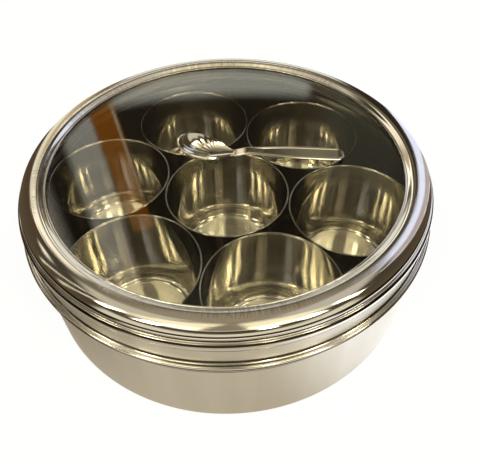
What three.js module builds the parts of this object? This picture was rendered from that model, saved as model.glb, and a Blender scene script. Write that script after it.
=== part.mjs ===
// Round stainless steel spice box (masala dabba) with a see-through lid, shown closed.
// Seven loose cups stand in the box and the serving spoon lies on the lid's pane.
// Millimetres, +Z up. The origin is the centre of the flat base, and -Y is the front.
import * as THREE from 'three';

// Sheet and gaps
const SHEET = 0.6;
const GAP = 0.3;
const COAXIAL_SIDES = 64;
const CUP_SIDES = 32;

// Box: a straight drawn pan whose neck is stepped in above a stop bead
const BODY_R = 95.7;
const BODY_CORNER_R = 2;
const STOP_BEAD_R = 97.3;
const STOP_BEAD_LOW = 44.6;
const STOP_BEAD_HIGH = 46.4;
const NECK_R = 94.7;
const NECK_TOP = 52.6;

// Lid ring: one pressing from the lip on the pane out to the rolled hem
const LIP_R = 82.5;
const CROWN_R = 86.2;
const CROWN_TOP = 68.3;
const SHOULDER_R = 94.6;
const SHOULDER_Z = 65.7;
const SKIRT_R = 95.6;
const BEAD_R = 96.3;
const BEAD_Z = 59.9;
const BEAD_HALF_HEIGHT = 2.2;
const HEM_R = 98.3;
const HEM_LOW = STOP_BEAD_HIGH + GAP;
const HEM_HEIGHT = 2.3;

// Pane, and the flat ring that holds it up against the lip
const PANE_R = 86;
const PANE_THICK = 2.0;
const PANE_TOP = 66.0;
const RETAINER_INNER_R = 83.5;
const RETAINER_OUTER_R = 93.2;

// Cups: one in the middle and six round it
const CUP_RIM_R = 31;
const CUP_BASE_R = 27.3;
const CUP_HEIGHT = 44.3;
const CUP_CORNER_R = 2.4;
const CUP_SHEET = 0.5;
const CUP_FLOOR_R = 21.3;
const CUP_FLOOR_RISE = 3.6;
const CUP_RING_R = 62.4;
const CUP_COUNT = 6;
const FIRST_CUP_DEG = -12;

// Spoon, measured from the tip of its bowl to the end of its handle; heights are over the pane
const SPOON_LENGTH = 77.5;
const SPOON_SHEET = 0.9;
const SPOON_REST = 0.55;
const BOWL_LENGTH = 26;
const BOWL_HALF_WIDTH = 8.9;
const BOWL_TIP_HEIGHT = 9.0;
const BOWL_BACK_HEIGHT = 3.8;
const NECK_LENGTH = 7;
const NECK_ARCH = 1.3;
const NECK_HALF_WIDTH = 2.5;
const HANDLE_HALF_WIDTH = 4.8;
const HANDLE_END_HEIGHT = 0.9;
const HANDLE_ROUNDING = 4;
const SPOON_TIP = [-22.1, 3.6];
const SPOON_TURN_DEG = -1.9;
const SPOON_EDGE_INSET = 0.25;
const SPOON_STEPS = 26;
const SPOON_STRIPS = 8;

const POLISHED = new THREE.MeshStandardMaterial({ color: 0xcfcabd, roughness: 0.12, metalness: 1 });
const SATIN = new THREE.MeshStandardMaterial({ color: 0xb9b1a0, roughness: 0.42, metalness: 1 });
const CLEAR = new THREE.MeshStandardMaterial({
  color: 0xe9eef0, roughness: 0.05, metalness: 0, transparent: true, opacity: 0.3,
});

// Points on an arc of an outline, from one angle to another in degrees, ends included.
function arc(centreR, centreZ, radiusR, radiusZ, fromDeg, toDeg, steps) {
  const points = [];
  for (let i = 0; i <= steps; i += 1) {
    const angle = THREE.MathUtils.degToRad(fromDeg + ((toDeg - fromDeg) * i) / steps);
    points.push([centreR + radiusR * Math.cos(angle), centreZ + radiusZ * Math.sin(angle)]);
  }
  return points;
}

// A solid turned about +Z from an outline of [radius, height] points, given either way round.
// An outline that starts on the axis ends there, and any other closes on itself.
function turned(name, outline, sides, material) {
  const points = outline.map(([r, z]) => new THREE.Vector2(r, z));
  if (THREE.ShapeUtils.area(points) < 0) points.reverse();
  if (points[0].x > 0) points.push(points[0]);
  const geometry = new THREE.LatheGeometry(points, sides);
  geometry.rotateX(Math.PI / 2);
  const mesh = new THREE.Mesh(geometry, material);
  mesh.name = name;
  return mesh;
}

// The pan: base, rounded corner, wall, stop bead and neck, with an even wall inside.
function makeBox() {
  const beadMiddle = (STOP_BEAD_LOW + STOP_BEAD_HIGH) / 2;
  const beadHalf = (STOP_BEAD_HIGH - STOP_BEAD_LOW) / 2;
  const cornerCentre = BODY_R - BODY_CORNER_R;
  const innerCorner = BODY_CORNER_R - SHEET;
  return turned('box', [
    [0, 0],
    ...arc(cornerCentre, BODY_CORNER_R, BODY_CORNER_R, BODY_CORNER_R, -90, 0, 4),
    ...arc(BODY_R, beadMiddle, STOP_BEAD_R - BODY_R, beadHalf, -90, 90, 4),
    [NECK_R, STOP_BEAD_HIGH],
    [NECK_R, NECK_TOP],
    [NECK_R - SHEET, NECK_TOP],
    [NECK_R - SHEET, STOP_BEAD_LOW],
    [BODY_R - SHEET, STOP_BEAD_LOW - (BODY_R - NECK_R)],
    ...arc(cornerCentre, BODY_CORNER_R, innerCorner, innerCorner, 0, -90, 4),
    [0, SHEET],
  ], COAXIAL_SIDES, SATIN);
}

// The lid's pressing: lip, chamfer, flat crown, shoulder edge, groove, bead, skirt, rolled hem.
function makeLidRing() {
  const lipZ = PANE_TOP + GAP;
  const grooveR = SHOULDER_R - 0.4;
  const grooveZ = BEAD_Z + BEAD_HALF_HEIGHT + 1.4;
  const innerR = SKIRT_R - SHEET;
  const hemMiddle = HEM_LOW + HEM_HEIGHT / 2;
  return turned('lid_ring', [
    [LIP_R, lipZ],
    [LIP_R, lipZ + 0.4],
    [CROWN_R - 1.4, CROWN_TOP - 0.6],
    [CROWN_R - 0.6, CROWN_TOP - 0.1],
    [CROWN_R + 0.6, CROWN_TOP],
    [CROWN_R + 3, CROWN_TOP - 0.35],
    [SHOULDER_R - 2.8, SHOULDER_Z + 1.4],
    [SHOULDER_R - 0.9, SHOULDER_Z + 0.6],
    [SHOULDER_R, SHOULDER_Z - 0.2],
    [SHOULDER_R, SHOULDER_Z - 1.2],
    [grooveR, grooveZ],
    ...arc(grooveR + 0.8, BEAD_Z, BEAD_R - grooveR - 0.8, BEAD_HALF_HEIGHT, 80, -65, 3),
    [SKIRT_R, BEAD_Z - BEAD_HALF_HEIGHT - 0.6],
    ...arc(SKIRT_R, hemMiddle, HEM_R - SKIRT_R, HEM_HEIGHT / 2, 90, -90, 4),
    [innerR, HEM_LOW],
    [innerR, BEAD_Z + 0.4],
    [grooveR - SHEET, grooveZ],
    [SHOULDER_R - SHEET, SHOULDER_Z - 1.1],
    [SHOULDER_R - SHEET, SHOULDER_Z - 0.5],
    [SHOULDER_R - 1.2, SHOULDER_Z],
    [SHOULDER_R - 3, SHOULDER_Z + 0.8],
    [CROWN_R + 2.9, CROWN_TOP - 0.95],
    [CROWN_R + 0.4, CROWN_TOP - SHEET],
    [CROWN_R - 0.7, CROWN_TOP - 0.9],
    [LIP_R + SHEET, lipZ],
  ], COAXIAL_SIDES, POLISHED);
}

// The clear disc under the lip.
function makePane() {
  return turned('lid_pane', [
    [0, PANE_TOP - PANE_THICK],
    [PANE_R, PANE_TOP - PANE_THICK],
    [PANE_R, PANE_TOP],
    [0, PANE_TOP],
  ], COAXIAL_SIDES, CLEAR);
}

// The flat ring pressed into the shoulder from below, which carries the pane.
function makeRetainer() {
  const top = PANE_TOP - PANE_THICK - GAP;
  return turned('pane_retainer', [
    [RETAINER_INNER_R, top - SHEET],
    [RETAINER_OUTER_R, top - SHEET],
    [RETAINER_OUTER_R, top],
    [RETAINER_INNER_R, top],
  ], COAXIAL_SIDES, SATIN);
}

// A thin straight-sided cup that widens slightly to a plain rim, with its floor pressed up.
function makeCup(name) {
  const cornerCentre = CUP_BASE_R - CUP_CORNER_R;
  const innerCorner = CUP_CORNER_R - CUP_SHEET;
  const riseFootR = CUP_FLOOR_R + CUP_FLOOR_RISE / 2;
  return turned(name, [
    [0, CUP_FLOOR_RISE],
    [CUP_FLOOR_R, CUP_FLOOR_RISE],
    [riseFootR, 0],
    ...arc(cornerCentre, CUP_CORNER_R, CUP_CORNER_R, CUP_CORNER_R, -90, 0, 2),
    [CUP_RIM_R, CUP_HEIGHT],
    [CUP_RIM_R - CUP_SHEET, CUP_HEIGHT],
    ...arc(cornerCentre, CUP_CORNER_R, innerCorner, innerCorner, 0, -90, 2),
    [riseFootR + CUP_SHEET, CUP_SHEET],
    [CUP_FLOOR_R + CUP_SHEET, CUP_FLOOR_RISE + CUP_SHEET],
    [0, CUP_FLOOR_RISE + CUP_SHEET],
  ], CUP_SIDES, POLISHED);
}

// The middle cup, then the six round it, all standing on the box's floor.
function makeCups() {
  const cups = new THREE.Group();
  cups.position.z = SHEET + GAP;
  cups.add(makeCup('cup_center'));
  for (let i = 0; i < CUP_COUNT; i += 1) {
    const angle = THREE.MathUtils.degToRad(FIRST_CUP_DEG + (360 * i) / CUP_COUNT);
    const cup = makeCup(`cup_${i + 1}`);
    cup.position.set(CUP_RING_R * Math.cos(angle), CUP_RING_R * Math.sin(angle), 0);
    cups.add(cup);
  }
  return cups;
}

// Half the spoon's width at a distance u from the tip of its bowl.
function spoonHalfWidth(u) {
  const bowlMiddle = BOWL_LENGTH / 2;
  const across = Math.max(0, 1 - ((u - bowlMiddle) / bowlMiddle) ** 2);
  const bowl = BOWL_HALF_WIDTH * Math.sqrt(across);
  const along = THREE.MathUtils.clamp((u - BOWL_LENGTH) / (SPOON_LENGTH - BOWL_LENGTH), 0, 1);
  const handle = u < bowlMiddle ? 0 : THREE.MathUtils.lerp(NECK_HALF_WIDTH, HANDLE_HALF_WIDTH, along);
  const intoEnd = Math.max(0, (u - SPOON_LENGTH + HANDLE_ROUNDING) / HANDLE_ROUNDING);
  return Math.max(bowl, handle * Math.sqrt(1 - intoEnd ** 2));
}

// Height over the pane of the bowl's rim, the arched neck and the falling handle.
function spoonLine(u) {
  const lerp = THREE.MathUtils.lerp;
  const rim = lerp(BOWL_TIP_HEIGHT, BOWL_BACK_HEIGHT, Math.min(u / BOWL_LENGTH, 1));
  const handleStart = BOWL_LENGTH + NECK_LENGTH;
  const arch = NECK_ARCH * THREE.MathUtils.smoothstep(u, BOWL_LENGTH - 1, handleStart);
  const alongHandle = Math.max(0, (u - handleStart) / (SPOON_LENGTH - handleStart));
  return lerp(rim + arch, HANDLE_END_HEIGHT, alongHandle);
}

// How far the bowl is dished below its rim line, at u along it and v from -1 to 1 across it.
function bowlDish(u, v) {
  const bowlShare = Math.max(0, 1 - ((u - BOWL_LENGTH / 2) / (BOWL_LENGTH / 2)) ** 2);
  return (spoonLine(u) - SPOON_REST) * bowlShare ** 0.6 * (1 - Math.abs(v) ** 2.6);
}

// The spoon as one sheet: a top grid and a bottom grid joined round their edge.
function makeSpoon() {
  const positions = [];
  for (let side = 0; side < 2; side += 1) {
    const offset = side === 0 ? SPOON_SHEET / 2 : -SPOON_SHEET / 2;
    for (let i = 0; i <= SPOON_STEPS; i += 1) {
      const eased = 0.5 - 0.5 * Math.cos((Math.PI * i) / SPOON_STEPS);
      const u = SPOON_EDGE_INSET + (SPOON_LENGTH - 2 * SPOON_EDGE_INSET) * eased;
      for (let j = 0; j <= SPOON_STRIPS; j += 1) {
        const v = (2 * j) / SPOON_STRIPS - 1;
        positions.push(u, v * spoonHalfWidth(u), spoonLine(u) - bowlDish(u, v) + offset);
      }
    }
  }
  const row = SPOON_STRIPS + 1;
  const layer = row * (SPOON_STEPS + 1);
  const index = [];
  const quad = (a, b, c, d) => index.push(a, b, c, a, c, d);
  for (let i = 0; i < SPOON_STEPS; i += 1) {
    for (let j = 0; j < SPOON_STRIPS; j += 1) {
      const a = i * row + j;
      quad(a, a + row, a + row + 1, a + 1);
      quad(layer + a, layer + a + 1, layer + a + row + 1, layer + a + row);
    }
    const left = i * row;
    const right = left + SPOON_STRIPS;
    quad(left, layer + left, layer + left + row, left + row);
    quad(right, right + row, layer + right + row, layer + right);
  }
  for (let j = 0; j < SPOON_STRIPS; j += 1) {
    const end = SPOON_STEPS * row + j;
    quad(j, j + 1, layer + j + 1, layer + j);
    quad(end, layer + end, layer + end + 1, end + 1);
  }
  const geometry = new THREE.BufferGeometry();
  geometry.setAttribute('position', new THREE.Float32BufferAttribute(positions, 3));
  geometry.setIndex(index);
  geometry.computeVertexNormals();
  const spoon = new THREE.Mesh(geometry, POLISHED);
  spoon.name = 'spoon';
  spoon.position.set(SPOON_TIP[0], SPOON_TIP[1], PANE_TOP + GAP);
  spoon.rotation.z = THREE.MathUtils.degToRad(SPOON_TURN_DEG);
  return spoon;
}

const spiceBox = new THREE.Group();
spiceBox.add(makeBox(), makeLidRing(), makePane(), makeRetainer(), makeCups(), makeSpoon());

export default spiceBox;
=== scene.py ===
"""Looks of the round spice box: polished and satin steel, a clear pane, cups and a spoon."""
import math

import bpy
from mathutils import Matrix, Vector


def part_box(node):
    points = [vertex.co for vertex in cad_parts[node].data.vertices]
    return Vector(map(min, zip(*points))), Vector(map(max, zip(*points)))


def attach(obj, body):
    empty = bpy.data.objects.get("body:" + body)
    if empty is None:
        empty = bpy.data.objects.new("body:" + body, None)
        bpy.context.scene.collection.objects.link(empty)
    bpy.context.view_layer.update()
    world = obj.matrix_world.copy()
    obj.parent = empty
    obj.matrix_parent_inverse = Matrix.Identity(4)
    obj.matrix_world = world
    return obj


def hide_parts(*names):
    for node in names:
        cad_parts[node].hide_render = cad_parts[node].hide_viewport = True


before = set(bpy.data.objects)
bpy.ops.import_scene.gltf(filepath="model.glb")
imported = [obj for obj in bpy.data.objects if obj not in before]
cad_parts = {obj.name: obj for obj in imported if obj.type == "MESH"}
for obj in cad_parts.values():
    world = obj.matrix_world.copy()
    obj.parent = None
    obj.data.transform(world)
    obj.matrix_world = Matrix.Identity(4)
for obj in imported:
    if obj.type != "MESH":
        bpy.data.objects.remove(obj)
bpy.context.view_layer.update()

MM = 0.001
TURNED_SIDES = 288
CUP_SIDES = 144
SHARP_ANGLE = math.radians(38)
SPOON_SHARP_ANGLE = math.radians(50)
SAME_POINT = 0.004

# ---------------------------------------------------------------- outer sizes, from the frame
_, BOX_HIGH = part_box("box")
RING_LOW, RING_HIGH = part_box("lid_ring")
PANE_LOW, PANE_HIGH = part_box("lid_pane")
RETAINER_LOW, RETAINER_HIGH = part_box("pane_retainer")
SPOON_LOW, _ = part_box("spoon")
CUPS = ["cup_center"] + [f"cup_{i}" for i in range(1, 7)]

# ---------------------------------------------------------------- sizes in millimetres
# Pieces that rest on each other stand this far apart in the frame.
GAP = 0.3
SHEET = 0.6
STOP_BEAD_OUT = 1.6
NECK_STEP = 1.0
HEM_OUT = 2.7

STOP_BEAD_R = BOX_HIGH.x / MM
BODY_R = STOP_BEAD_R - STOP_BEAD_OUT
NECK_R = BODY_R - NECK_STEP
NECK_TOP = BOX_HIGH.z / MM
CORNER_R = 2.0

CROWN_TOP = RING_HIGH.z / MM
HEM_R = RING_HIGH.x / MM
HEM_LOW = RING_LOW.z / MM
SKIRT_R = HEM_R - HEM_OUT
LIP_R = 82.5
STOP_BEAD_TOP = HEM_LOW - GAP

PANE_TOP = PANE_HIGH.z / MM
PANE_BOTTOM = PANE_LOW.z / MM
PANE_R = PANE_HIGH.x / MM
PANE_BEVEL = 0.25
RETAINER_INNER_R = 83.5
RETAINER_ROUNDING = 0.25

# The dark lines of painted shade, each as low height, high height and softness. The lid's are on the
# shoulder, in its groove, on and under the bead, over the hem and on the hem. The box's is under the
# stop bead.
OVER_HEM = (HEM_LOW + 2.3, HEM_LOW + 3.9, 0.15)
UNDER_HEM = (STOP_BEAD_TOP - 4.9, STOP_BEAD_TOP - 2.4, 0.5)
LID_CREASES = [
    (CROWN_TOP - 3.75, CROWN_TOP - 3.1, 0.1),
    (CROWN_TOP - 5.55, CROWN_TOP - 4.7, 0.1),
    (CROWN_TOP - 7.3, CROWN_TOP - 6.35, 0.15),
    (CROWN_TOP - 10.9, CROWN_TOP - 9.7, 0.3),
    OVER_HEM,
    (HEM_LOW + 1.1, HEM_LOW + 1.6, 0.1),
]
BOX_CREASES = [(STOP_BEAD_TOP - 1.75, STOP_BEAD_TOP - 1.2, 0.12)]

CUP_SHEET = 0.45
CUP_FLOOR_R = 21.3
CUP_FLOOR_RISE = 3.6
CUP_RIM_THICK = 0.8

SPOON_REST = 0.55
SPOON_HALF_THICK = 0.38
SPOON_LENGTH = 77.4
SPOON_TURN = math.radians(-1.9)
SPOON_TIP = (SPOON_LOW.x / MM + 0.1, 3.6)
BOWL_LENGTH = 26.0
BOWL_HALF_WIDTH = 8.5
BOWL_WIDEST = 10.0
BOWL_TIP_HEIGHT = 8.85
BOWL_BACK_HEIGHT = 1.5
NECK_LENGTH = 7.0
NECK_ARCH = 1.5
NECK_HALF_WIDTH = 2.1
HANDLE_HALF_WIDTH = 4.15
HANDLE_WIDENING = (3.0, 28.0)
HANDLE_END_HEIGHT = 0.85
HANDLE_ROUNDING = 3.4
HANDLE_HOLLOW = 0.30
HANDLE_ROLLED = 0.35
FLUTE_COUNT = 28.0
FLUTE_DEPTH = 0.10
FLUTE_HUB = BOWL_LENGTH * 0.70
FLUTE_FAN = (0.45, 1.5)

# ---------------------------------------------------------------- marks on the steel, and painted shade
# Painted shade: the near-black tint of the crease lines.
CREASE_SHADE = (0.05, 0.038, 0.028, 1)
# Painted shade: the tint over the hem and on the wall close under it.
HEM_SHADE = (0.07, 0.058, 0.045, 1)
SCRATCH_TINT = (0.34, 0.29, 0.26, 1)
# Distances from the axis between which the lid's scratches fade out, in metres.
SCRATCHES_END = (0.0872, 0.0895)

# ---------------------------------------------------------------- floor, in metres
FLOOR_SIZE = 6.0
FLOOR_DROP = 0.0002
# Distances from the axis between which the floor fades out of the steel's reflections.
FLOOR_FADES = (0.16, 0.20)

# ---------------------------------------------------------------- camera
CAMERA_PLACE = (0.0061, -0.1808, 0.2165)
CAMERA_LENS = 36.92
CAMERA_DOWN = math.radians(48.15)
CAMERA_LEAN = math.radians(-1.10)


# ---------------------------------------------------------------- outline helpers, millimetres
def arc(centre, radii, start, end, steps):
    """Points on an ellipse's arc, from one angle to another in degrees, ends included."""
    angles = [math.radians(start + (end - start) * i / steps) for i in range(steps + 1)]
    return [(centre[0] + radii[0] * math.cos(a), centre[1] + radii[1] * math.sin(a)) for a in angles]


def smooth(points, steps=5):
    """A Catmull-Rom curve through the points, with this many steps between two of them."""
    made = []
    last = len(points) - 1
    for i in range(last):
        p0, p1 = points[max(i - 1, 0)], points[i]
        p2, p3 = points[i + 1], points[min(i + 2, last)]
        for k in range(steps):
            t = k / steps
            made.append(tuple(catmull(a, b, c, d, t) for a, b, c, d in zip(p0, p1, p2, p3)))
    return made + [points[-1]]


def catmull(a, b, c, d, t):
    """One coordinate of a Catmull-Rom curve between b and c."""
    curve = 2 * a - 5 * b + 4 * c - d
    twist = 3 * b - 3 * c + d - a
    return 0.5 * (2 * b + (c - a) * t + curve * t * t + twist * t * t * t)


def limited(value):
    """The value kept between 0 and 1."""
    return min(max(value, 0.0), 1.0)


def eased(share):
    """A share from 0 to 1 with a soft start and a soft end."""
    return share * share * (3 - 2 * share)


def finish_mesh(name, vertices, faces, indices, materials, sharp=SHARP_ANGLE):
    """A smooth-shaded object from points, faces and each face's material."""
    mesh = bpy.data.meshes.new(name)
    mesh.from_pydata(vertices, [], faces)
    for material in materials:
        mesh.materials.append(material)
    mesh.polygons.foreach_set("material_index", indices)
    mesh.polygons.foreach_set("use_smooth", [True] * len(faces))
    mesh.validate()
    mesh.update()
    mesh.set_sharp_from_angle(angle=sharp)
    piece = bpy.data.objects.new(name, mesh)
    bpy.context.scene.collection.objects.link(piece)
    return piece


def lathe(name, bands, materials, sides=TURNED_SIDES):
    """Turns a closed outline about Z. bands is a list of (points in mm, material index).

    An outline that starts on the axis ends there; any other closes on itself.
    """
    points = []
    kinds = []
    for band, kind in bands:
        for point in band:
            if points and math.dist(point, points[-1]) < SAME_POINT:
                continue
            points.append(point)
            kinds.append(kind)
    open_ended = points[0][0] < SAME_POINT
    if not open_ended and math.dist(points[0], points[-1]) < SAME_POINT:
        points.pop()
        kinds.pop()
    area = sum(
        p[0] * q[1] - q[0] * p[1] for p, q in zip(points, points[1:] + points[:1])
    )
    vertices = []
    rows = []
    for r, z in points:
        if r < SAME_POINT:
            rows.append([len(vertices)] * sides)
            vertices.append((0.0, 0.0, z * MM))
            continue
        rows.append(list(range(len(vertices), len(vertices) + sides)))
        for k in range(sides):
            turn = 2 * math.pi * k / sides
            vertices.append((r * MM * math.cos(turn), r * MM * math.sin(turn), z * MM))
    faces = []
    indices = []
    count = len(rows)
    for i in range(count - 1 if open_ended else count):
        here, there = rows[i], rows[(i + 1) % count]
        for k in range(sides):
            n = (k + 1) % sides
            loop = [here[k], here[n], there[n], there[k]]
            loop = [v for j, v in enumerate(loop) if v != loop[j - 1]]
            faces.append(loop if area > 0 else loop[::-1])
            indices.append(kinds[(i + 1) % count])
    return finish_mesh(name, vertices, faces, indices, materials)


# ---------------------------------------------------------------- node helpers
class Nodes:
    """A short way to write shader nodes."""

    def __init__(self, tree):
        self.tree = tree
        tree.nodes.clear()

    def add(self, kind, inputs=None, **settings):
        node = self.tree.nodes.new(kind)
        for key, value in settings.items():
            setattr(node, key, value)
        for key, value in (inputs or {}).items():
            self.put(node.inputs[key], value)
        return node

    def put(self, socket, value):
        if isinstance(value, bpy.types.NodeSocket):
            self.tree.links.new(value, socket)
        elif isinstance(value, bpy.types.Node):
            self.tree.links.new(value.outputs[0], socket)
        else:
            socket.default_value = value

    def math(self, operation, *values, clamp=False):
        node = self.add("ShaderNodeMath", operation=operation, use_clamp=clamp)
        for socket, value in zip(node.inputs, values):
            self.put(socket, value)
        return node.outputs[0]

    def ramp(self, value, low, high, out_low=0.0, out_high=1.0):
        """Smooth step of value from low to high."""
        node = self.add(
            "ShaderNodeMapRange",
            {"Value": value, "From Min": low, "From Max": high, "To Min": out_low, "To Max": out_high},
            interpolation_type="SMOOTHSTEP",
        )
        return node.outputs["Result"]

    def mix(self, factor, a, b):
        node = self.add("ShaderNodeMix", data_type="RGBA")
        self.put(node.inputs["Factor"], factor)
        self.put(node.inputs[6], a)
        self.put(node.inputs[7], b)
        return node.outputs[2]

    def noise(self, vector, scale, detail=2.0, roughness=0.5):
        node = self.add(
            "ShaderNodeTexNoise",
            {"Vector": vector, "Scale": scale, "Detail": detail, "Roughness": roughness},
        )
        return node.outputs["Fac"]


def new_material(name):
    material = bpy.data.materials.new(name)
    material.use_nodes = True
    return material, Nodes(material.node_tree)


def turned_coordinates(n, along, around):
    """Coordinates on a turned piece: stretched along its height or around its axis.

    Around stays the direction from the axis, so a pattern has no seam. Along is the height less
    the radius, so that it also changes across a flat face.
    """
    place = n.add("ShaderNodeTexCoord").outputs["Object"]
    split = n.add("ShaderNodeSeparateXYZ", {"Vector": place})
    flat = n.add("ShaderNodeCombineXYZ", {"X": split.outputs[0], "Y": split.outputs[1]})
    outward = n.add("ShaderNodeVectorMath", {0: flat}, operation="NORMALIZE")
    around_split = n.add("ShaderNodeSeparateXYZ", {"Vector": outward.outputs[0]})
    radius = n.add("ShaderNodeVectorMath", {0: flat}, operation="LENGTH").outputs["Value"]
    path = n.math("SUBTRACT", split.outputs[2], radius)
    joined = n.add(
        "ShaderNodeCombineXYZ",
        {
            "X": n.math("MULTIPLY", around_split.outputs[0], around),
            "Y": n.math("MULTIPLY", around_split.outputs[1], around),
            "Z": n.math("MULTIPLY", path, along),
        },
    )
    return place, joined.outputs[0], radius, split.outputs[2]


def crease_shade_mask(n, height, creases):
    """The mask of the painted shade lines on a piece, by their height on it."""
    total = 0.0
    for low, high, soft in creases:
        into = n.ramp(height, (low - soft) * MM, (low + soft) * MM)
        out_of = n.ramp(height, (high - soft) * MM, (high + soft) * MM, 1.0, 0.0)
        total = n.math("MAXIMUM", total, n.math("MULTIPLY", into, out_of))
    return total


def polished_steel(name, tint, worn, rough_low, creases=(), scratched=False):
    """Mirror-polished stainless: smudges, fine polishing rings and painted shade in the creases.

    A scratched piece, the lid, has patches of short scratches on its inner slope.
    """
    material, n = new_material(name)
    place, rings, radius, height = turned_coordinates(n, along=2600.0, around=1.2)
    smudge = n.noise(place, 42.0, 4.0, 0.6)
    fine = n.noise(rings, 1.0, 2.0)
    rough = n.ramp(smudge, 0.35, 0.75, rough_low, rough_low + 0.07)
    colour = n.mix(n.ramp(smudge, 0.3, 0.8), (*tint, 1), (*worn, 1))
    if scratched:
        _, rays, _, _ = turned_coordinates(n, along=140.0, around=380.0)
        patch = n.ramp(n.noise(place, 19.0, 2.0), 0.44, 0.62)
        patch = n.math("MULTIPLY", patch, n.ramp(radius, *SCRATCHES_END, 1.0, 0.0))
        scratch = n.math("MULTIPLY", n.ramp(n.noise(rays, 1.0, 3.0, 0.7), 0.44, 0.60), patch)
        rough = n.math("ADD", rough, n.math("MULTIPLY", scratch, 0.16))
        fine = n.math("ADD", fine, n.math("MULTIPLY", scratch, -1.4))
        colour = n.mix(n.math("MULTIPLY", scratch, 0.6), colour, SCRATCH_TINT)
    # Painted shade: dark lines in the creases, by height.
    if creases:
        colour = n.mix(crease_shade_mask(n, height, creases), colour, CREASE_SHADE)
    wobble = n.noise(place, 16.0, 1.0)
    wide = n.add("ShaderNodeBump", {"Strength": 0.16, "Distance": 0.004, "Height": wobble})
    bump = n.add(
        "ShaderNodeBump",
        {"Strength": 0.07, "Distance": 0.0002, "Height": fine, "Normal": wide.outputs[0]},
    )
    shader = n.add(
        "ShaderNodeBsdfPrincipled",
        {"Base Color": colour, "Metallic": 1.0, "Roughness": rough, "Normal": bump.outputs[0]},
    )
    n.add("ShaderNodeOutputMaterial", {"Surface": shader})
    return material


def brushed(n, tint, rough, bump, anisotropy, metallic=1.0):
    """A metal shader brushed round the axis, which stretches highlights across the brushing."""
    around = n.add("ShaderNodeTangent", direction_type="RADIAL", axis="Z")
    shader = n.add(
        "ShaderNodeBsdfPrincipled",
        {
            "Base Color": tint,
            "Metallic": metallic,
            "Roughness": rough,
            "Anisotropic": anisotropy,
            "Anisotropic Rotation": 0.25,
            "Tangent": around,
            "Normal": bump,
        },
    )
    n.add("ShaderNodeOutputMaterial", {"Surface": shader})


def satin_steel():
    """Brushed stainless: fine rings round the wall, soft cloudy wear and faint upright rubs.

    It has painted shade in the crease over the hem and on the wall close under it.
    """
    material, n = new_material("satin_steel")
    place, rings, _, height = turned_coordinates(n, along=5200.0, around=2.5)
    brush = n.noise(rings, 1.0, 3.0, 0.7)
    cloud = n.noise(place, 26.0, 3.0, 0.55)
    _, upright, _, _ = turned_coordinates(n, along=8.0, around=9.0)
    rub = n.noise(upright, 1.0, 2.0)
    rough = n.math("ADD", n.ramp(brush, 0.3, 0.7, 0.30, 0.38), n.ramp(cloud, 0.3, 0.7, -0.02, 0.05))
    tint = n.mix(n.ramp(rub, 0.3, 0.7), (0.74, 0.71, 0.655, 1), (0.69, 0.66, 0.60, 1))
    # Painted shade over the hem and on the wall close under it.
    hem_shade = crease_shade_mask(n, height, [OVER_HEM, UNDER_HEM])
    tint = n.mix(hem_shade, tint, HEM_SHADE)
    bump = n.add("ShaderNodeBump", {"Strength": 0.10, "Distance": 0.0001, "Height": brush})
    brushed(n, tint, rough, bump.outputs[0], 0.6)
    return material


def painted_shade_steel():
    """The box's inside: dull, with faint drawing marks, and painted shade, a dark tint for the shade
    under the lid.
    """
    material, n = new_material("painted_shade_steel")
    _, upright, _, _ = turned_coordinates(n, along=10.0, around=20.0)
    marks = n.noise(upright, 1.0, 3.0, 0.6)
    # Painted shade: these tints are much darker than the steel's own.
    tint = n.mix(n.ramp(marks, 0.3, 0.7), (0.26, 0.235, 0.19, 1), (0.18, 0.16, 0.125, 1))
    bump = n.add("ShaderNodeBump", {"Strength": 0.10, "Distance": 0.0003, "Height": marks})
    brushed(n, tint, n.ramp(marks, 0.3, 0.7, 0.20, 0.28), bump.outputs[0], 0.6)
    return material


def cup_steel():
    """Bright drawn stainless: mirror-like round the wall, with drawing marks and water spots. Its tint
    is darker than the steel's, as painted shade on the cup walls.
    """
    material, n = new_material("cup_steel")
    place, upright, _, _ = turned_coordinates(n, along=7.0, around=30.0)
    marks = n.noise(upright, 1.0, 2.0, 0.5)
    spots = n.noise(place, 90.0, 3.0, 0.6)
    _, rings, _, _ = turned_coordinates(n, along=1800.0, around=2.0)
    ring_noise = n.noise(rings, 1.0, 2.0)
    rough = n.math("ADD", n.ramp(marks, 0.35, 0.7, 0.075, 0.115), n.ramp(spots, 0.55, 0.75, 0.0, 0.05))
    # Painted shade: both tints are darker than the steel's own.
    tint = n.mix(n.ramp(marks, 0.3, 0.75), (0.57, 0.54, 0.46, 1), (0.44, 0.415, 0.345, 1))
    wobble = n.noise(place, 34.0, 1.0)
    wide = n.add("ShaderNodeBump", {"Strength": 0.06, "Distance": 0.001, "Height": wobble})
    fine = n.math("ADD", marks, n.math("MULTIPLY", ring_noise, 0.08))
    bump = n.add(
        "ShaderNodeBump",
        {"Strength": 0.03, "Distance": 0.0003, "Height": fine, "Normal": wide.outputs[0]},
    )
    brushed(n, tint, rough, bump.outputs[0], 0.85)
    return material


def cup_floor_steel():
    """The cups' floors: faint turned rings, a duller sheen and painted light, a tint paler than the
    walls' steel.
    """
    material, n = new_material("cup_floor_steel")
    place, rings, _, _ = turned_coordinates(n, along=1400.0, around=1.5)
    ring_noise = n.noise(rings, 1.0, 3.0, 0.6)
    cloud = n.noise(place, 70.0, 3.0, 0.6)
    rough = n.math("ADD", n.ramp(ring_noise, 0.3, 0.7, 0.13, 0.19), n.ramp(cloud, 0.4, 0.75, 0.0, 0.08))
    # Painted light: the floors are tinted paler than the walls' steel.
    tint = n.mix(n.ramp(cloud, 0.3, 0.8), (0.96, 0.93, 0.84, 1), (0.86, 0.82, 0.71, 1))
    bump = n.add("ShaderNodeBump", {"Strength": 0.05, "Distance": 0.0003, "Height": ring_noise})
    brushed(n, tint, rough, bump.outputs[0], 0.3, metallic=0.85)
    return material


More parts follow.
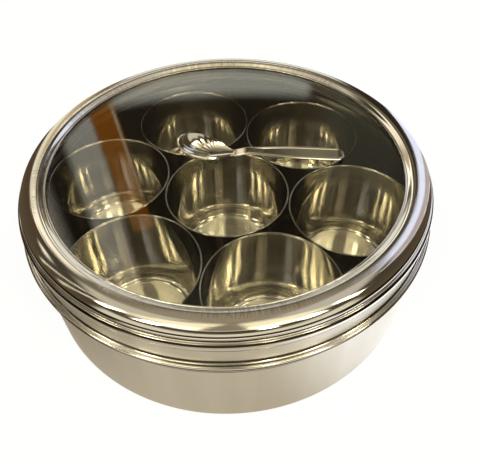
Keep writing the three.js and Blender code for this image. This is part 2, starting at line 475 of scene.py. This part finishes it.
def clear_pane():
    """Clear pane: glossy, with faint smears on it."""
    material, n = new_material("clear_pane")
    place = n.add("ShaderNodeTexCoord").outputs["Object"]
    smear = n.noise(place, 24.0, 3.0, 0.6)
    rough = n.ramp(smear, 0.45, 0.8, 0.0, 0.02)
    shader = n.add(
        "ShaderNodeBsdfPrincipled",
        {
            "Base Color": (0.985, 0.985, 0.97, 1),
            "Metallic": 0.0,
            "Roughness": rough,
            "IOR": 1.5,
            "Transmission Weight": 1.0,
        },
    )
    n.add("ShaderNodeOutputMaterial", {"Surface": shader})
    return material


# ---------------------------------------------------------------- pieces
def make_box(satin, polished, shaded):
    """The pan: base, rounded corner, satin wall, polished stop bead and a neck.

    Its inside below the neck is the steel with painted shade, a darker tint.
    """
    corner = (BODY_R - CORNER_R, CORNER_R)
    inner = CORNER_R - SHEET
    bead_z = STOP_BEAD_TOP - 0.9
    outline = [
        ([(0, 0), (30, 0), (60, 0)], 0),
        (arc(corner, (CORNER_R, CORNER_R), -90, 0, 18), 0),
        ([(BODY_R, 16), (BODY_R, 30), (BODY_R, bead_z - 1.3)], 0),
        (arc((BODY_R + 0.35, bead_z - 1.25), (0.35, 0.35), 180, 120, 3), 1),
        (arc((BODY_R + 0.65, bead_z), (STOP_BEAD_R - BODY_R - 0.65, 0.9), -75, 95, 14), 1),
        (arc((NECK_R + 0.4, STOP_BEAD_TOP + 0.35), (0.4, 0.4), 270, 180, 4), 1),
        ([(NECK_R, NECK_TOP - 0.3)], 1),
        (arc((NECK_R - SHEET / 2, NECK_TOP - 0.3), (SHEET / 2, 0.3), 0, 180, 8), 1),
        ([(NECK_R - SHEET, STOP_BEAD_TOP - 1)], 0),
        ([(BODY_R - SHEET, STOP_BEAD_TOP - 2.6)], 2),
        (arc(corner, (inner, inner), 0, -90, 14), 2),
        ([(60, SHEET), (30, SHEET), (0, SHEET)], 2),
    ]
    piece = lathe("box_pan", outline, [satin, polished, shaded])
    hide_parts("box")
    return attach(piece, "box")


def make_lid_ring(polished, satin):
    """The lid's pressing, from the lip on the pane over the crown and bead to the hem."""
    lip_z = PANE_TOP + GAP
    shoulder_r = LIP_R + 12.2
    groove_z = CROWN_TOP - 5.6
    bead_z = CROWN_TOP - 8.4
    hem_z = HEM_LOW + 1.1
    skirt_top = bead_z - 2.5
    inner_r = SKIRT_R - SHEET
    lip = arc((LIP_R + 0.3, lip_z + 0.3), (0.3, 0.3), 260, 60, 8)
    crown = smooth(
        [
            (LIP_R + 0.6, lip_z + 0.5),
            (LIP_R + 0.8, lip_z + 0.42),
            (LIP_R + 1.15, lip_z + 0.55),
            (LIP_R + 1.9, lip_z + 1.05),
            (LIP_R + 2.6, lip_z + 1.55),
            (LIP_R + 3.2, CROWN_TOP - 0.14),
            (LIP_R + 3.9, CROWN_TOP),
            (LIP_R + 5.4, CROWN_TOP - 0.12),
            (LIP_R + 7.0, CROWN_TOP - 0.4),
            (LIP_R + 8.5, CROWN_TOP - 0.87),
            (LIP_R + 9.8, CROWN_TOP - 1.5),
            (LIP_R + 10.8, CROWN_TOP - 2.25),
            (LIP_R + 11.6, CROWN_TOP - 3.15),
            (LIP_R + 12.05, CROWN_TOP - 4.1),
            (shoulder_r, groove_z + 0.5),
        ],
        6,
    )
    ledge = smooth(
        [
            (shoulder_r - 0.02, groove_z + 0.3),
            (shoulder_r - 0.35, groove_z + 0.06),
            (shoulder_r - 0.32, groove_z - 0.12),
            (shoulder_r + 0.1, groove_z - 0.22),
            (shoulder_r + 0.18, groove_z - 0.42),
            (shoulder_r - 0.1, groove_z - 0.6),
        ],
        4,
    )
    bead = arc((shoulder_r + 0.45, bead_z), (HEM_R - 2.0 - shoulder_r - 0.45, 2.15), 86, -62, 22)
    hem_in = arc((SKIRT_R + 0.9, hem_z + 1.65), (0.9, 0.75), 180, 262, 5)
    hem = arc((HEM_R - 1.05, hem_z), (1.05, 1.1), 100, -100, 16)
    underside = [
        (SKIRT_R + 0.6, HEM_LOW + 0.25),
        (inner_r + 0.2, HEM_LOW + 0.05),
        (inner_r, HEM_LOW + 0.4),
        (inner_r, skirt_top),
        (inner_r, bead_z + 0.3),
    ]
    inside = smooth(
        [
            (shoulder_r - 0.7, groove_z - 0.3),
            (shoulder_r - 0.62, groove_z + 0.9),
            (LIP_R + 11.2, CROWN_TOP - 3.5),
            (LIP_R + 10.3, CROWN_TOP - 2.65),
            (LIP_R + 9.4, CROWN_TOP - 2.0),
            (LIP_R + 8.2, CROWN_TOP - 1.42),
            (LIP_R + 6.8, CROWN_TOP - 0.98),
            (LIP_R + 5.3, CROWN_TOP - 0.7),
            (LIP_R + 4.0, CROWN_TOP - 0.6),
            (LIP_R + 3.5, CROWN_TOP - 0.72),
            (LIP_R + 2.3, lip_z + 0.72),
            (LIP_R + 1.5, lip_z + 0.16),
            (LIP_R + 0.8, lip_z),
        ],
        3,
    )
    outline = [
        (lip, 0),
        (crown, 0),
        (ledge, 0),
        (bead, 0),
        ([(SKIRT_R, skirt_top + 0.1)], 0),
        ([(SKIRT_R + 0.02, skirt_top - 0.4), (SKIRT_R, hem_z + 5), (SKIRT_R, hem_z + 2.2)], 1),
        (hem_in, 0),
        (hem, 0),
        (underside, 1),
        (inside, 1),
    ]
    piece = lathe("lid_pressing", outline, [polished, satin])
    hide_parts("lid_ring")
    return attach(piece, "lid")


def make_pane(clear):
    """The clear disc, with a small bevel round its edge."""
    flat_r = PANE_R - PANE_BEVEL
    outline = [
        ([(0, PANE_BOTTOM), (40, PANE_BOTTOM), (flat_r, PANE_BOTTOM)], 0),
        ([(PANE_R, PANE_BOTTOM + PANE_BEVEL), (PANE_R, PANE_TOP - PANE_BEVEL)], 0),
        ([(flat_r, PANE_TOP), (40, PANE_TOP), (0, PANE_TOP)], 0),
    ]
    piece = lathe("clear_disc", outline, [clear])
    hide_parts("lid_pane")
    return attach(piece, "lid")


def make_retainer(satin):
    """The flat ring under the pane, with rounded upper edges."""
    low, high = RETAINER_LOW.z / MM, RETAINER_HIGH.z / MM
    inner, outer = RETAINER_INNER_R, RETAINER_HIGH.x / MM
    r = RETAINER_ROUNDING
    outline = [
        (arc((inner + r, high - r), (r, r), 180, 90, 4), 0),
        (arc((outer - r, high - r), (r, r), 90, 0, 4), 0),
        ([(outer, low + 0.1), (outer - 0.1, low), (inner + 0.1, low), (inner, low + 0.1)], 0),
    ]
    piece = lathe("retaining_ring", outline, [satin])
    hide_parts("pane_retainer")
    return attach(piece, "lid")


def cup_outline(height, rim_r):
    """A cup's outline: floor pressed up, foot, stepped and tapered wall, small round rim."""
    base_r = rim_r - 3.7
    t = CUP_SHEET
    rise = CUP_FLOOR_RISE
    foot_r = CUP_FLOOR_R + 2.0
    floor_out = smooth(
        [
            (CUP_FLOOR_R - 1.0, rise),
            (CUP_FLOOR_R, rise - 0.2),
            (CUP_FLOOR_R + 0.7, rise - 1.2),
            (foot_r - 0.6, 0.4),
            (foot_r + 0.2, 0.02),
            (base_r - 2.6, 0.0),
        ],
        3,
    )
    foot_out = arc((base_r - 2.4, 2.4), (2.4, 2.4), -88, -4, 8)
    wall_start = (base_r + 0.42, 6.0)
    slope = (rim_r - 0.25 - wall_start[0]) / (height - 1.0 - wall_start[1])
    step_out = [(base_r + 0.04, 3.2), (base_r + 0.08, 4.2), (base_r + 0.34, 5.0), wall_start]
    wall_out = [
        (wall_start[0] + slope * climb, wall_start[1] + climb)
        for climb in [(height - 7.2) * s / 6 for s in range(1, 7)]
    ]
    bead_r = CUP_RIM_THICK / 2
    rim = arc((rim_r - bead_r, height - bead_r), (bead_r, bead_r), -60, 215, 16)
    wall_in = [(r - t, z) for r, z in reversed(wall_out)]
    step_in = smooth(
        [
            (wall_start[0] - t, wall_start[1]),
            (base_r + 0.22 - t, 5.15),
            (base_r - 0.1 - t, 4.6),
            (base_r - 0.2 - t, 3.7),
            (base_r - 0.45 - t, 2.7),
            (base_r - 1.2 - t, 1.3),
            (base_r - 2.2 - t, 0.66),
        ],
        4,
    )
    floor_in = smooth(
        [
            (foot_r + 0.75, t),
            (foot_r + 0.15, t + 0.25),
            (CUP_FLOOR_R + 1.5, rise - 1.1 + t),
            (CUP_FLOOR_R + 0.9, rise - 0.3 + t),
            (CUP_FLOOR_R, rise + t),
            (CUP_FLOOR_R - 1.0, rise + t - 0.02),
            (CUP_FLOOR_R - 1.7, rise + t - 0.16),
        ],
        4,
    )
    return [
        ([(0, rise), (10, rise)], 0),
        (floor_out, 0),
        (foot_out, 0),
        (step_out, 0),
        (wall_out, 0),
        (rim, 0),
        (wall_in, 0),
        (step_in, 0),
        (floor_in, 1),
        ([(12, rise + t - 0.12), (5, rise + t - 0.1), (0, rise + t - 0.1)], 1),
    ]


def make_cups(steel, floor):
    """Seven equal cups, turned by quarters so that their marks fall differently."""
    low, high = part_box("cup_center")
    outline = cup_outline((high.z - low.z) / MM, high.x / MM)
    first = lathe("cup_shape", outline, [steel, floor], CUP_SIDES)
    mesh = first.data
    bpy.data.objects.remove(first)
    for i, node in enumerate(CUPS):
        low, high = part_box(node)
        cup = bpy.data.objects.new(f"steel_{node}", mesh)
        bpy.context.scene.collection.objects.link(cup)
        cup.location = ((low.x + high.x) / 2, (low.y + high.y) / 2, low.z)
        cup.rotation_euler.z = math.radians(90.0 * (i % 4))
        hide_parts(node)
        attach(cup, node)


def spoon_half_width(u):
    """Half the spoon's width at a distance u from the bowl's tip, in mm."""
    if u < BOWL_WIDEST:
        return BOWL_HALF_WIDTH * max(0.0, 1 - ((BOWL_WIDEST - u) / BOWL_WIDEST) ** 2.2) ** 0.5
    narrowing = min((u - BOWL_WIDEST) / (BOWL_LENGTH - BOWL_WIDEST), 1.0)
    bowl = BOWL_HALF_WIDTH * (1 - narrowing ** 1.9) ** 0.85
    start, reach = HANDLE_WIDENING
    widening = eased(limited((u - BOWL_LENGTH - start) / reach))
    handle = NECK_HALF_WIDTH + (HANDLE_HALF_WIDTH - NECK_HALF_WIDTH) * widening
    into_end = max(0.0, (u - SPOON_LENGTH + HANDLE_ROUNDING) / HANDLE_ROUNDING)
    handle *= max(0.0, 1 - into_end ** 3.0) ** 0.5
    blend = 5.0
    return (bowl ** blend + handle ** blend) ** (1 / blend)


def spoon_line(u):
    """Height over the pane of the bowl's rim, the arched neck and the falling handle, in mm."""
    climb = min(u / BOWL_LENGTH, 1.0)
    rim = BOWL_TIP_HEIGHT + (BOWL_BACK_HEIGHT - BOWL_TIP_HEIGHT) * climb
    line = rim + NECK_ARCH * eased(limited((u - BOWL_LENGTH + 1) / (NECK_LENGTH + 1)))
    start = BOWL_LENGTH + NECK_LENGTH
    fall = max(0.0, (u - start) / (SPOON_LENGTH - start))
    return line + (HANDLE_END_HEIGHT - line) * fall


def flute_height(u, v, share):
    """The waves that fan out from the bowl's hub towards its tip and fade at its rim, in mm."""
    side = v * spoon_half_width(u)
    spread = math.hypot(u - FLUTE_HUB, side)
    angle = math.atan2(side, FLUTE_HUB - u)
    middle, half_fan = FLUTE_FAN
    outward = limited((spread - 3.0) / 5.0)
    tipward = limited((half_fan - abs(angle - middle)) / 0.5)
    inside = (1 - abs(v) ** 8) * min(share * 5, 1.0)
    return FLUTE_DEPTH * math.cos(angle * FLUTE_COUNT) * outward * tipward * inside


def handle_hollow(u, v):
    """How far the handle's face lies below its raised and rolled edges, in mm."""
    hollow = 0.0
    if u > BOWL_LENGTH + 6:
        inset = min((u - BOWL_LENGTH - 6) / 8, (SPOON_LENGTH - 1.0 - u) / 1.4, 1.0)
        face = eased(limited((0.84 - abs(v)) / 0.16))
        hollow = HANDLE_HOLLOW * max(inset, 0.0) * face
    rolled = max(0.0, (abs(v) - 0.86) / 0.14) ** 2 if u > BOWL_LENGTH else 0.0
    return hollow + HANDLE_ROLLED * rolled


def spoon_height(u, v):
    """Height of the spoon's middle surface over the pane, at u along and v across, in mm."""
    line = spoon_line(u)
    share = max(0.0, 1 - ((u - BOWL_LENGTH / 2) / (BOWL_LENGTH / 2)) ** 2)
    dish = (line - SPOON_REST) * share ** 0.6 * (1 - abs(v) ** 2.6)
    return line - dish + flute_height(u, v, share) - handle_hollow(u, v)


def make_spoon(polished):
    """The spoon: a fluted shell bowl, an arched neck and a handle with raised edges."""
    along_steps, across_steps = 300, 96
    rows = []
    for i in range(along_steps + 1):
        closer = 0.5 - 0.5 * math.cos(math.pi * i / along_steps)
        u = 0.02 + (SPOON_LENGTH - 0.04) * (0.55 * closer + 0.45 * i / along_steps)
        row = []
        for j in range(across_steps + 1):
            v = math.sin(math.pi * (j / across_steps - 0.5))
            row.append(Vector((u, v * spoon_half_width(u), spoon_height(u, v))))
        rows.append(row)
    count, width = len(rows), len(rows[0])
    vertices = []
    for side in (SPOON_HALF_THICK, -SPOON_HALF_THICK):
        for i in range(count):
            for j in range(width):
                du = rows[min(i + 1, count - 1)][j] - rows[max(i - 1, 0)][j]
                dv = rows[i][min(j + 1, width - 1)] - rows[i][max(j - 1, 0)]
                across = du.cross(dv)
                if across.length < 1e-9:
                    across = Vector((0, 0, 1))
                vertices.append(rows[i][j] + across.normalized() * side)
    layer = count * width
    faces = []
    for i in range(count - 1):
        for j in range(width - 1):
            a = i * width + j
            faces.append((a, a + width, a + width + 1, a + 1))
            faces.append((layer + a, layer + a + 1, layer + a + width + 1, layer + a + width))
    border = list(range(width))
    border += [i * width + width - 1 for i in range(1, count)]
    border += [(count - 1) * width + j for j in range(width - 2, -1, -1)]
    border += [i * width for i in range(count - 2, 0, -1)]
    for a, b in zip(border, border[1:] + border[:1]):
        faces.append((a, b, layer + b, layer + a))
    place = Matrix.Translation(Vector((*SPOON_TIP, PANE_TOP + GAP)) * MM)
    place = place @ Matrix.Rotation(SPOON_TURN, 4, "Z") @ Matrix.Scale(MM, 4)
    placed = [place @ p for p in vertices]
    indices = [0] * len(faces)
    piece = finish_mesh("shell_spoon", placed, faces, indices, [polished], SPOON_SHARP_ANGLE)
    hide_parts("spoon")
    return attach(piece, "spoon")


# ---------------------------------------------------------------- room, light and camera
def window(n, azimuth, elevation, place, size, soft):
    """The mask of a soft-edged rectangle in the room, in degrees of azimuth and elevation."""
    turned_by = n.math("SUBTRACT", azimuth, place[0])
    off_azimuth = n.math("ABSOLUTE", n.math("WRAP", turned_by, 180.0, -180.0))
    off_elevation = n.math("ABSOLUTE", n.math("SUBTRACT", elevation, place[1]))
    masks = [
        n.ramp(off, width / 2 - soft, width / 2 + soft, 1.0, 0.0)
        for off, width in zip((off_azimuth, off_elevation), size)
    ]
    return n.math("MULTIPLY", masks[0], masks[1])


# The room as the steel reflects it, each panel painted over the ones before:
# (azimuth, elevation), (width, height), softness, colour. Angles are in degrees, azimuth 0 is
# ahead of the camera and 90 is to its right. The columns spread out with height.
COLUMNS = [
    ((0, 2), (30, 26), 2.0, (0.95, 0.93, 0.82)),
    ((0, 15), (27, 4), 1.0, (0.30, 0.25, 0.16)),
    ((20, 0), (10, 70), 1.5, (0.035, 0.024, 0.015)),
    ((-17.5, 0), (5, 70), 1.0, (0.22, 0.17, 0.10)),
    ((-22, 0), (5, 80), 1.2, (0.62, 0.46, 0.25)),
    ((-27, 5), (6, 80), 1.5, (1.0, 0.95, 0.76)),
    ((-36, 0), (10, 80), 1.5, (0.10, 0.060, 0.034)),
    ((31.5, 10), (12.5, 90), 1.2, (1.0, 1.07, 1.28)),
    ((42, 8), (9, 80), 2.5, (0.58, 0.50, 0.50)),
    ((47, 20), (2, 60), 0.7, (0.95, 0.92, 0.9)),
]
ROOM_PANELS = [
    ((-37, 44), (18, 18), 1.5, (1.30, 1.18, 0.92)),
    ((-21.4, 42), (4.6, 24), 0.8, (1.25, 1.2, 1.0)),
    ((-66, 38), (9, 6), 1.5, (1.1, 1.05, 0.85)),
    ((0, 58), (110, 12), 4.0, (0.20, 0.18, 0.12)),
    ((0, 78), (200, 32), 5.0, (0.36, 0.30, 0.21)),
    ((92, 66), (84, 26), 4.0, (0.62, 0.57, 0.47)),
    ((-92, 66), (70, 26), 4.0, (0.66, 0.60, 0.45)),
    ((-84, 34), (3, 44), 1.0, (1.0, 0.93, 0.7)),
    ((-98, 34), (4, 44), 1.0, (0.9, 0.8, 0.6)),
    ((18, 37), (13, 12), 3.0, (0.24, 0.22, 0.15)),
    ((-9, 27), (37, 11), 0.8, (1.35, 1.33, 1.12)),
    ((180, -17), (100, 24), 5.0, (1.25, 1.15, 0.92)),
    ((180, 18), (124, 26), 4.0, (0.85, 0.78, 0.60)),
    ((180, 72), (150, 26), 5.0, (1.25, 1.13, 0.75)),
    ((180, 58), (90, 14), 4.0, (2.3, 2.1, 1.45)),
    ((-175, 69), (32, 34), 3.0, (0.30, 0.25, 0.18)),
    ((132, 50), (12, 13), 2.5, (12.0, 11.1, 8.3)),
    ((160, 48), (8, 9), 1.5, (11.0, 10.2, 7.4)),
    ((104, 50), (6, 13), 2.0, (14.0, 13.0, 9.4)),
    ((-106, 50), (6, 13), 2.0, (14.0, 13.0, 9.6)),
    ((-134, 50), (11, 13), 1.5, (14.0, 12.9, 9.2)),
    ((180, 2), (120, 8), 2.0, (0.55, 0.50, 0.40)),
]
# A brown beam with a bright edge, which lean a little and show in the pane.
BEAM = ((-17.3, 38), (3.3, 17), 0.4, (0.80, 0.27, 0.03))
BEAM_EDGE = ((-15.9, 37), (0.4, 12), 0.2, (1.2, 0.9, 0.55))
BEAM_LEAN = 0.13
BEAM_MIDDLE = 38.0
COLUMN_SPREAD = 0.0075
LOWEST_SEEN = -25.0


def make_room():
    """The room that the steel reflects: dark and warm, with windows, and pale to the camera."""
    world = bpy.data.worlds.new("room")
    world.use_nodes = True
    bpy.context.scene.world = world
    n = Nodes(world.node_tree)
    ray = n.add("ShaderNodeTexCoord").outputs["Generated"]
    split = n.add("ShaderNodeSeparateXYZ", {"Vector": ray})
    degrees = 180 / math.pi
    azimuth = n.math("MULTIPLY", n.math("ARCTAN2", split.outputs[0], split.outputs[1]), degrees)
    elevation = n.math("MULTIPLY", n.math("ARCSINE", split.outputs[2]), degrees)
    total = n.mix(n.ramp(elevation, -10, 80), (0.11, 0.08, 0.045, 1), (0.05, 0.043, 0.030, 1))
    climb = n.math("MAXIMUM", n.math("SUBTRACT", elevation, LOWEST_SEEN), 0.0)
    spread = n.math("ADD", 1.0, n.math("MULTIPLY", climb, COLUMN_SPREAD))
    column = n.math("DIVIDE", azimuth, spread)
    lean = n.math("MULTIPLY", n.math("SUBTRACT", elevation, BEAM_MIDDLE), BEAM_LEAN)
    leaning = n.math("SUBTRACT", azimuth, lean)
    layers = [(column, COLUMNS), (azimuth, ROOM_PANELS), (leaning, [BEAM, BEAM_EDGE])]
    for across, panels in layers:
        for place, size, soft, colour in panels:
            mask = window(n, across, elevation, place, size, soft)
            total = n.mix(mask, total, (*colour, 1))
    seen = n.add("ShaderNodeLightPath").outputs["Is Camera Ray"]
    colour = n.mix(seen, total, (0.96, 0.96, 0.96, 1))
    background = n.add("ShaderNodeBackground", {"Color": colour, "Strength": 1.0})
    n.add("ShaderNodeOutputWorld", {"Surface": background})


def make_floor():
    """A plain pale floor to the camera. To the steel's reflections it glows with painted light: beige,
    darker at the left and brighter at the right.

    Reflected rays that meet it further off go past it to the foot of the room.
    """
    bpy.ops.mesh.primitive_plane_add(size=FLOOR_SIZE, location=(0, 0, -FLOOR_DROP))
    floor = bpy.context.object
    floor.name = "floor"
    material, n = new_material("floor_paint")
    place = n.add("ShaderNodeTexCoord").outputs["Object"]
    split = n.add("ShaderNodeSeparateXYZ", {"Vector": place})
    left = n.ramp(split.outputs[0], -0.12, -0.03)
    right = n.ramp(split.outputs[0], 0.02, 0.095)
    # Painted light: the glow that the steel reflects, darker at the left and brighter at the right.
    near = n.mix(left, (0.40, 0.35, 0.27, 1), (0.62, 0.55, 0.43, 1))
    near = n.mix(right, near, (1.45, 1.45, 1.42, 1))
    away = n.add("ShaderNodeVectorMath", {0: place}, operation="LENGTH").outputs["Value"]
    glow = n.add("ShaderNodeEmission", {"Color": near, "Strength": 1.0})
    past = n.add("ShaderNodeBsdfTransparent")
    reflected = n.add("ShaderNodeMixShader", {"Fac": n.ramp(away, *FLOOR_FADES)})
    n.put(reflected.inputs[1], glow)
    n.put(reflected.inputs[2], past)
    pale = n.add("ShaderNodeEmission", {"Color": (0.93, 0.93, 0.93, 1), "Strength": 0.94})
    paint = n.add("ShaderNodeBsdfDiffuse", {"Color": (0.165, 0.180, 0.205, 1)})
    to_camera = n.add("ShaderNodeAddShader")
    n.put(to_camera.inputs[0], pale)
    n.put(to_camera.inputs[1], paint)
    seen = n.add("ShaderNodeLightPath").outputs["Is Camera Ray"]
    both = n.add("ShaderNodeMixShader", {"Fac": seen})
    n.put(both.inputs[1], reflected)
    n.put(both.inputs[2], to_camera)
    n.add("ShaderNodeOutputMaterial", {"Surface": both})
    floor.data.materials.append(material)


def make_camera():
    """The camera: close, looking down steeply and leaning a little."""
    data = bpy.data.cameras.new("camera")
    data.sensor_width = 36.0
    data.lens = CAMERA_LENS
    data.clip_start = 0.01
    camera = bpy.data.objects.new("camera", data)
    bpy.context.scene.collection.objects.link(camera)
    tilt = Matrix.Rotation(math.pi / 2 - CAMERA_DOWN, 4, "X")
    lean = Matrix.Rotation(CAMERA_LEAN, 4, "Z")
    camera.matrix_world = Matrix.Translation(CAMERA_PLACE) @ (tilt @ lean)
    bpy.context.scene.camera = camera


bright = (0.80, 0.775, 0.73)
dulled = (0.72, 0.69, 0.64)
polished = polished_steel("polished_steel", bright, dulled, 0.045, BOX_CREASES)
lid_steel = polished_steel("lid_steel", bright, dulled, 0.045, LID_CREASES, scratched=True)
# The spoon's steel is tinted darker than the box's: painted shade that dims its reflections.
spoon_steel = polished_steel("spoon_steel", (0.66, 0.64, 0.57), (0.57, 0.54, 0.47), 0.09)
satin = satin_steel()
make_box(satin, polished, painted_shade_steel())
make_lid_ring(lid_steel, satin)
make_pane(clear_pane())
make_retainer(satin)
make_cups(cup_steel(), cup_floor_steel())
make_spoon(spoon_steel)
make_room()
make_floor()
make_camera()
bpy.context.scene.view_settings.view_transform = "Standard"
